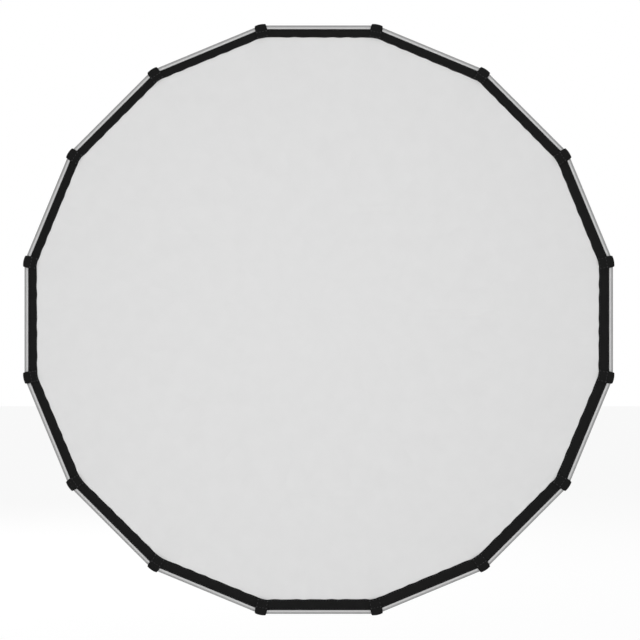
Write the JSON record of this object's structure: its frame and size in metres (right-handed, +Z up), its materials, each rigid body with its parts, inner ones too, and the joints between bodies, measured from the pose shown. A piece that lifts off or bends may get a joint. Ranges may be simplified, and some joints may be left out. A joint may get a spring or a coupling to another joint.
{
  "type": "folding parabolic softbox",
  "caption": "Folding parabolic softbox: steel ribs hinged on a lamp adapter hub spread a black bowl that a white front diffuser closes.",
  "frame": {"origin": "centre of the lamp seat: on the optical axis, in the plane of the adapter flange's back face", "axes": "-Y forward along the optical axis, towards the diffuser; +Y back towards the lamp; +Z up; +X to the right in a front view"},
  "size_m": [0.8892, 0.5476, 0.8892],
  "materials": {
    "adapter_alloy": "machined and lightly brushed",
    "nylon": "plain moulded nylon",
    "screw_steel": "blackened steel",
    "hub_plastic": "fine textured glass-filled nylon",
    "pin_steel": "ground steel",
    "spring_steel": "spring steel strip",
    "brass": "turned brass",
    "knob_plastic": "moulded black plastic",
    "rib_steel": "drawn spring steel rod with black moulded ends",
    "bowl_fabric": "black woven nylon outside",
    "silver_lining": "satin silver reflective lining inside",
    "border_webbing": "black woven tape and webbing",
    "piping_fabric": "light grey corded binding",
    "diffuser_cloth": "white translucent polyester cloth"
  },
  "bodies": {
    "lamp_adapter": {"adapter_ring": "adapter_alloy", "glide_washer": "nylon", "retaining_ring": "adapter_alloy", "retaining_screws": "screw_steel"},
    "hub": {"hub_base": "hub_plastic", "hub_cover": "hub_plastic", "pivot_pins": "pin_steel", "detent_springs": "spring_steel", "cover_screws": "screw_steel", "neck_binding": "border_webbing", "lock_insert": "brass"},
    "lock_knob": {"lock_screw": "knob_plastic"},
    "rib_01": {"rib_01": "rib_steel"},
    "gore_01": {"gore_01": "bowl_fabric"},
    "diffuser_01": {"diffuser_01": "diffuser_cloth"},
    "rib_02": {"rib_02": "rib_steel"},
    "gore_02": {"gore_02": "bowl_fabric"},
    "diffuser_02": {"diffuser_02": "diffuser_cloth"},
    "rib_03": {"rib_03": "rib_steel"},
    "gore_03": {"gore_03": "bowl_fabric"},
    "diffuser_03": {"diffuser_03": "diffuser_cloth"},
    "rib_04": {"rib_04": "rib_steel"},
    "gore_04": {"gore_04": "bowl_fabric"},
    "diffuser_04": {"diffuser_04": "diffuser_cloth"},
    "rib_05": {"rib_05": "rib_steel"},
    "gore_05": {"gore_05": "bowl_fabric"},
    "diffuser_05": {"diffuser_05": "diffuser_cloth"},
    "rib_06": {"rib_06": "rib_steel"},
    "gore_06": {"gore_06": "bowl_fabric"},
    "diffuser_06": {"diffuser_06": "diffuser_cloth"},
    "rib_07": {"rib_07": "rib_steel"},
    "gore_07": {"gore_07": "bowl_fabric"},
    "diffuser_07": {"diffuser_07": "diffuser_cloth"},
    "rib_08": {"rib_08": "rib_steel"},
    "gore_08": {"gore_08": "bowl_fabric"},
    "diffuser_08": {"diffuser_08": "diffuser_cloth"},
    "rib_09": {"rib_09": "rib_steel"},
    "gore_09": {"gore_09": "bowl_fabric"},
    "diffuser_09": {"diffuser_09": "diffuser_cloth"},
    "rib_10": {"rib_10": "rib_steel"},
    "gore_10": {"gore_10": "bowl_fabric"},
    "diffuser_10": {"diffuser_10": "diffuser_cloth"},
    "rib_11": {"rib_11": "rib_steel"},
    "gore_11": {"gore_11": "bowl_fabric"},
    "diffuser_11": {"diffuser_11": "diffuser_cloth"},
    "rib_12": {"rib_12": "rib_steel"},
    "gore_12": {"gore_12": "bowl_fabric"},
    "diffuser_12": {"diffuser_12": "diffuser_cloth"},
    "rib_13": {"rib_13": "rib_steel"},
    "gore_13": {"gore_13": "bowl_fabric"},
    "diffuser_13": {"diffuser_13": "diffuser_cloth"},
    "rib_14": {"rib_14": "rib_steel"},
    "gore_14": {"gore_14": "bowl_fabric"},
    "diffuser_14": {"diffuser_14": "diffuser_cloth"},
    "rib_15": {"rib_15": "rib_steel"},
    "gore_15": {"gore_15": "bowl_fabric"},
    "diffuser_15": {"diffuser_15": "diffuser_cloth"},
    "rib_16": {"rib_16": "rib_steel"},
    "gore_16": {"gore_16": "bowl_fabric"},
    "diffuser_16": {"diffuser_16": "diffuser_cloth"}
  },
  "joints": [
    {"name": "rotate", "type": "hinge", "parent": "lamp_adapter", "child": "hub", "pos_m": [0, 0, 0], "axis": [0, 1, 0], "continuous": true},
    {"name": "lock_turn", "type": "hinge", "parent": "hub", "child": "lock_knob", "pos_m": [0, -0.0101, -0.1], "axis": [0, 0, -1], "range_deg": [0, 360]},
    {"name": "fold", "type": "hinge", "parent": "hub", "child": "rib_01", "pos_m": [0.08239, -0.0151, 0.01639], "axis": [0.1951, 0, -0.9808], "range_deg": [0, 34.56], "deforming": ["detent_springs"]},
    {"name": "close_01", "type": "hinge", "parent": "hub", "child": "gore_01", "pos_m": [0.07612, -0.0151, 0.03153], "axis": [0.3827, 0, -0.9239], "range_deg": [0, 34.09], "deforming": ["gore_01"]},
    {"name": "tuck_01", "type": "hinge", "parent": "gore_01", "child": "diffuser_01", "pos_m": [0.39048, -0.5348, 0.16174], "axis": [0.3827, 0, -0.9239], "range_deg": [0, 45.6], "deforming": ["diffuser_01"]},
    {"name": "fold_02", "type": "hinge", "parent": "hub", "child": "rib_02", "pos_m": [0.06984, -0.0151, 0.04667], "axis": [0.5556, 0, -0.8315], "range_deg": [0, 34.56]},
    {"name": "close_02", "type": "hinge", "parent": "hub", "child": "gore_02", "pos_m": [0.05826, -0.0151, 0.05826], "axis": [0.7071, 0, -0.7071], "range_deg": [0, 34.09], "deforming": ["gore_02"]},
    {"name": "tuck_02", "type": "hinge", "parent": "gore_02", "child": "diffuser_02", "pos_m": [0.29886, -0.5348, 0.29886], "axis": [0.7071, 0, -0.7071], "range_deg": [0, 45.6], "deforming": ["diffuser_02"]},
    {"name": "fold_03", "type": "hinge", "parent": "hub", "child": "rib_03", "pos_m": [0.04667, -0.0151, 0.06984], "axis": [0.8315, 0, -0.5556], "range_deg": [0, 34.56]},
    {"name": "close_03", "type": "hinge", "parent": "hub", "child": "gore_03", "pos_m": [0.03153, -0.0151, 0.07612], "axis": [0.9239, 0, -0.3827], "range_deg": [0, 34.09], "deforming": ["gore_03"]},
    {"name": "tuck_03", "type": "hinge", "parent": "gore_03", "child": "diffuser_03", "pos_m": [0.16174, -0.5348, 0.39048], "axis": [0.9239, 0, -0.3827], "range_deg": [0, 45.6], "deforming": ["diffuser_03"]},
    {"name": "fold_04", "type": "hinge", "parent": "hub", "child": "rib_04", "pos_m": [0.01639, -0.0151, 0.08239], "axis": [0.9808, 0, -0.1951], "range_deg": [0, 34.56]},
    {"name": "close_04", "type": "hinge", "parent": "hub", "child": "gore_04", "pos_m": [0, -0.0151, 0.08239], "axis": [1, 0, 0], "range_deg": [0, 34.09], "deforming": ["gore_04"]},
    {"name": "tuck_04", "type": "hinge", "parent": "gore_04", "child": "diffuser_04", "pos_m": [0, -0.5348, 0.42265], "axis": [1, 0, 0], "range_deg": [0, 45.6], "deforming": ["diffuser_04"]},
    {"name": "fold_05", "type": "hinge", "parent": "hub", "child": "rib_05", "pos_m": [-0.01639, -0.0151, 0.08239], "axis": [0.9808, 0, 0.1951], "range_deg": [0, 34.56]},
    {"name": "close_05", "type": "hinge", "parent": "hub", "child": "gore_05", "pos_m": [-0.03153, -0.0151, 0.07612], "axis": [0.9239, 0, 0.3827], "range_deg": [0, 34.09], "deforming": ["gore_05"]},
    {"name": "tuck_05", "type": "hinge", "parent": "gore_05", "child": "diffuser_05", "pos_m": [-0.16174, -0.5348, 0.39048], "axis": [0.9239, 0, 0.3827], "range_deg": [0, 45.6], "deforming": ["diffuser_05"]},
    {"name": "fold_06", "type": "hinge", "parent": "hub", "child": "rib_06", "pos_m": [-0.04667, -0.0151, 0.06984], "axis": [0.8315, 0, 0.5556], "range_deg": [0, 34.56]},
    {"name": "close_06", "type": "hinge", "parent": "hub", "child": "gore_06", "pos_m": [-0.05826, -0.0151, 0.05826], "axis": [0.7071, 0, 0.7071], "range_deg": [0, 34.09], "deforming": ["gore_06"]},
    {"name": "tuck_06", "type": "hinge", "parent": "gore_06", "child": "diffuser_06", "pos_m": [-0.29886, -0.5348, 0.29886], "axis": [0.7071, 0, 0.7071], "range_deg": [0, 45.6], "deforming": ["diffuser_06"]},
    {"name": "fold_07", "type": "hinge", "parent": "hub", "child": "rib_07", "pos_m": [-0.06984, -0.0151, 0.04667], "axis": [0.5556, 0, 0.8315], "range_deg": [0, 34.56]},
    {"name": "close_07", "type": "hinge", "parent": "hub", "child": "gore_07", "pos_m": [-0.07612, -0.0151, 0.03153], "axis": [0.3827, 0, 0.9239], "range_deg": [0, 34.09], "deforming": ["gore_07"]},
    {"name": "tuck_07", "type": "hinge", "parent": "gore_07", "child": "diffuser_07", "pos_m": [-0.39048, -0.5348, 0.16174], "axis": [0.3827, 0, 0.9239], "range_deg": [0, 45.6], "deforming": ["diffuser_07"]},
    {"name": "fold_08", "type": "hinge", "parent": "hub", "child": "rib_08", "pos_m": [-0.08239, -0.0151, 0.01639], "axis": [0.1951, 0, 0.9808], "range_deg": [0, 34.56]},
    {"name": "close_08", "type": "hinge", "parent": "hub", "child": "gore_08", "pos_m": [-0.08239, -0.0151, 0], "axis": [0, 0, 1], "range_deg": [0, 34.09], "deforming": ["gore_08"]},
    {"name": "tuck_08", "type": "hinge", "parent": "gore_08", "child": "diffuser_08", "pos_m": [-0.42265, -0.5348, 0], "axis": [0, 0, 1], "range_deg": [0, 45.6], "deforming": ["diffuser_08"]},
    {"name": "fold_09", "type": "hinge", "parent": "hub", "child": "rib_09", "pos_m": [-0.08239, -0.0151, -0.01639], "axis": [-0.1951, 0, 0.9808], "range_deg": [0, 34.56]},
    {"name": "close_09", "type": "hinge", "parent": "hub", "child": "gore_09", "pos_m": [-0.07612, -0.0151, -0.03153], "axis": [-0.3827, 0, 0.9239], "range_deg": [0, 34.09], "deforming": ["gore_09"]},
    {"name": "tuck_09", "type": "hinge", "parent": "gore_09", "child": "diffuser_09", "pos_m": [-0.39048, -0.5348, -0.16174], "axis": [-0.3827, 0, 0.9239], "range_deg": [0, 45.6], "deforming": ["diffuser_09"]},
    {"name": "fold_10", "type": "hinge", "parent": "hub", "child": "rib_10", "pos_m": [-0.06984, -0.0151, -0.04667], "axis": [-0.5556, 0, 0.8315], "range_deg": [0, 34.56]},
    {"name": "close_10", "type": "hinge", "parent": "hub", "child": "gore_10", "pos_m": [-0.05826, -0.0151, -0.05826], "axis": [-0.7071, 0, 0.7071], "range_deg": [0, 34.09], "deforming": ["gore_10"]},
    {"name": "tuck_10", "type": "hinge", "parent": "gore_10", "child": "diffuser_10", "pos_m": [-0.29886, -0.5348, -0.29886], "axis": [-0.7071, 0, 0.7071], "range_deg": [0, 45.6], "deforming": ["diffuser_10"]},
    {"name": "fold_11", "type": "hinge", "parent": "hub", "child": "rib_11", "pos_m": [-0.04667, -0.0151, -0.06984], "axis": [-0.8315, 0, 0.5556], "range_deg": [0, 34.56]},
    {"name": "close_11", "type": "hinge", "parent": "hub", "child": "gore_11", "pos_m": [-0.03153, -0.0151, -0.07612], "axis": [-0.9239, 0, 0.3827], "range_deg": [0, 34.09], "deforming": ["gore_11"]},
    {"name": "tuck_11", "type": "hinge", "parent": "gore_11", "child": "diffuser_11", "pos_m": [-0.16174, -0.5348, -0.39048], "axis": [-0.9239, 0, 0.3827], "range_deg": [0, 45.6], "deforming": ["diffuser_11"]},
    {"name": "fold_12", "type": "hinge", "parent": "hub", "child": "rib_12", "pos_m": [-0.01639, -0.0151, -0.08239], "axis": [-0.9808, 0, 0.1951], "range_deg": [0, 34.56]},
    {"name": "close_12", "type": "hinge", "parent": "hub", "child": "gore_12", "pos_m": [0, -0.0151, -0.08239], "axis": [-1, 0, 0], "range_deg": [0, 34.09], "deforming": ["gore_12"]},
    {"name": "tuck_12", "type": "hinge", "parent": "gore_12", "child": "diffuser_12", "pos_m": [0, -0.5348, -0.42265], "axis": [-1, 0, 0], "range_deg": [0, 45.6], "deforming": ["diffuser_12"]},
    {"name": "fold_13", "type": "hinge", "parent": "hub", "child": "rib_13", "pos_m": [0.01639, -0.0151, -0.08239], "axis": [-0.9808, 0, -0.1951], "range_deg": [0, 34.56]},
    {"name": "close_13", "type": "hinge", "parent": "hub", "child": "gore_13", "pos_m": [0.03153, -0.0151, -0.07612], "axis": [-0.9239, 0, -0.3827], "range_deg": [0, 34.09], "deforming": ["gore_13"]},
    {"name": "tuck_13", "type": "hinge", "parent": "gore_13", "child": "diffuser_13", "pos_m": [0.16174, -0.5348, -0.39048], "axis": [-0.9239, 0, -0.3827], "range_deg": [0, 45.6], "deforming": ["diffuser_13"]},
    {"name": "fold_14", "type": "hinge", "parent": "hub", "child": "rib_14", "pos_m": [0.04667, -0.0151, -0.06984], "axis": [-0.8315, 0, -0.5556], "range_deg": [0, 34.56]},
    {"name": "close_14", "type": "hinge", "parent": "hub", "child": "gore_14", "pos_m": [0.05826, -0.0151, -0.05826], "axis": [-0.7071, 0, -0.7071], "range_deg": [0, 34.09], "deforming": ["gore_14"]},
    {"name": "tuck_14", "type": "hinge", "parent": "gore_14", "child": "diffuser_14", "pos_m": [0.29886, -0.5348, -0.29886], "axis": [-0.7071, 0, -0.7071], "range_deg": [0, 45.6], "deforming": ["diffuser_14"]},
    {"name": "fold_15", "type": "hinge", "parent": "hub", "child": "rib_15", "pos_m": [0.06984, -0.0151, -0.04667], "axis": [-0.5556, 0, -0.8315], "range_deg": [0, 34.56]},
    {"name": "close_15", "type": "hinge", "parent": "hub", "child": "gore_15", "pos_m": [0.07612, -0.0151, -0.03153], "axis": [-0.3827, 0, -0.9239], "range_deg": [0, 34.09], "deforming": ["gore_15"]},
    {"name": "tuck_15", "type": "hinge", "parent": "gore_15", "child": "diffuser_15", "pos_m": [0.39048, -0.5348, -0.16174], "axis": [-0.3827, 0, -0.9239], "range_deg": [0, 45.6], "deforming": ["diffuser_15"]},
    {"name": "fold_16", "type": "hinge", "parent": "hub", "child": "rib_16", "pos_m": [0.08239, -0.0151, -0.01639], "axis": [-0.1951, 0, -0.9808], "range_deg": [0, 34.56]},
    {"name": "close_16", "type": "hinge", "parent": "hub", "child": "gore_16", "pos_m": [0.08239, -0.0151, 0], "axis": [0, 0, -1], "range_deg": [0, 34.09], "deforming": ["gore_16"]},
    {"name": "tuck_16", "type": "hinge", "parent": "gore_16", "child": "diffuser_16", "pos_m": [0.42265, -0.5348, 0], "axis": [0, 0, -1], "range_deg": [0, 45.6], "deforming": ["diffuser_16"]}
  ],
  "couplings": [
    {"joint": "close_01", "follows": "fold", "ratio": 0.985},
    {"joint": "tuck_01", "follows": "fold", "ratio": 1.3181},
    {"joint": "fold_02", "follows": "fold", "ratio": 1},
    {"joint": "close_02", "follows": "fold", "ratio": 0.985},
    {"joint": "tuck_02", "follows": "fold", "ratio": 1.3181},
    {"joint": "fold_03", "follows": "fold", "ratio": 1},
    {"joint": "close_03", "follows": "fold", "ratio": 0.985},
    {"joint": "tuck_03", "follows": "fold", "ratio": 1.3181},
    {"joint": "fold_04", "follows": "fold", "ratio": 1},
    {"joint": "close_04", "follows": "fold", "ratio": 0.985},
    {"joint": "tuck_04", "follows": "fold", "ratio": 1.3181},
    {"joint": "fold_05", "follows": "fold", "ratio": 1},
    {"joint": "close_05", "follows": "fold", "ratio": 0.985},
    {"joint": "tuck_05", "follows": "fold", "ratio": 1.3181},
    {"joint": "fold_06", "follows": "fold", "ratio": 1},
    {"joint": "close_06", "follows": "fold", "ratio": 0.985},
    {"joint": "tuck_06", "follows": "fold", "ratio": 1.3181},
    {"joint": "fold_07", "follows": "fold", "ratio": 1},
    {"joint": "close_07", "follows": "fold", "ratio": 0.985},
    {"joint": "tuck_07", "follows": "fold", "ratio": 1.3181},
    {"joint": "fold_08", "follows": "fold", "ratio": 1},
    {"joint": "close_08", "follows": "fold", "ratio": 0.985},
    {"joint": "tuck_08", "follows": "fold", "ratio": 1.3181},
    {"joint": "fold_09", "follows": "fold", "ratio": 1},
    {"joint": "close_09", "follows": "fold", "ratio": 0.985},
    {"joint": "tuck_09", "follows": "fold", "ratio": 1.3181},
    {"joint": "fold_10", "follows": "fold", "ratio": 1},
    {"joint": "close_10", "follows": "fold", "ratio": 0.985},
    {"joint": "tuck_10", "follows": "fold", "ratio": 1.3181},
    {"joint": "fold_11", "follows": "fold", "ratio": 1},
    {"joint": "close_11", "follows": "fold", "ratio": 0.985},
    {"joint": "tuck_11", "follows": "fold", "ratio": 1.3181},
    {"joint": "fold_12", "follows": "fold", "ratio": 1},
    {"joint": "close_12", "follows": "fold", "ratio": 0.985},
    {"joint": "tuck_12", "follows": "fold", "ratio": 1.3181},
    {"joint": "fold_13", "follows": "fold", "ratio": 1},
    {"joint": "close_13", "follows": "fold", "ratio": 0.985},
    {"joint": "tuck_13", "follows": "fold", "ratio": 1.3181},
    {"joint": "fold_14", "follows": "fold", "ratio": 1},
    {"joint": "close_14", "follows": "fold", "ratio": 0.985},
    {"joint": "tuck_14", "follows": "fold", "ratio": 1.3181},
    {"joint": "fold_15", "follows": "fold", "ratio": 1},
    {"joint": "close_15", "follows": "fold", "ratio": 0.985},
    {"joint": "tuck_15", "follows": "fold", "ratio": 1.3181},
    {"joint": "fold_16", "follows": "fold", "ratio": 1},
    {"joint": "close_16", "follows": "fold", "ratio": 0.985},
    {"joint": "tuck_16", "follows": "fold", "ratio": 1.3181}
  ]
}
